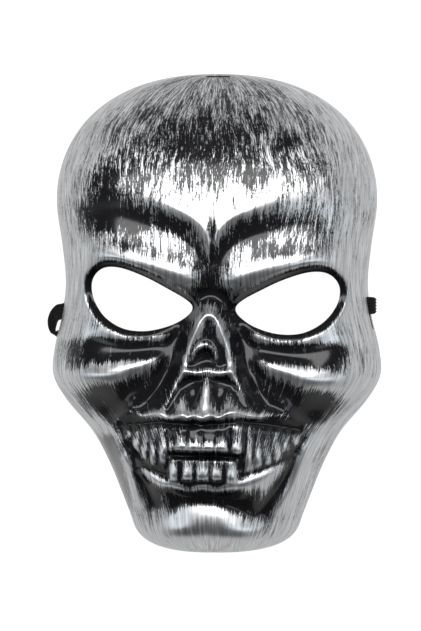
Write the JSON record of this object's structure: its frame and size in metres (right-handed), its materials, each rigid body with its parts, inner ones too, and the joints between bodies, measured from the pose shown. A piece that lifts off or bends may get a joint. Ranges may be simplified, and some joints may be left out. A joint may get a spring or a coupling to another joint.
{
  "type": "skull mask",
  "caption": "Face mask shaped as a grinning skull, pressed from thin plastic sheet, with open eye holes and an elastic band through slots at its temples.",
  "frame": {"origin": "on the ground that the rim rests on, under the middle of the rim", "axes": "+Y to the crown, +Z out of the face, +X to the right of someone looking at the face"},
  "size_m": [0.1754, 0.25, 0.0836],
  "materials": {
    "brushed_plastic": "glossy black plastic with silver brushed on dry in streaks",
    "black_elastic": "matt ribbed elastic webbing"
  },
  "bodies": {
    "root": {"mask_shell": "brushed_plastic", "band_loop_left": "black_elastic", "band_loop_right": "black_elastic", "elastic_band": "black_elastic"}
  },
  "joints": []
}
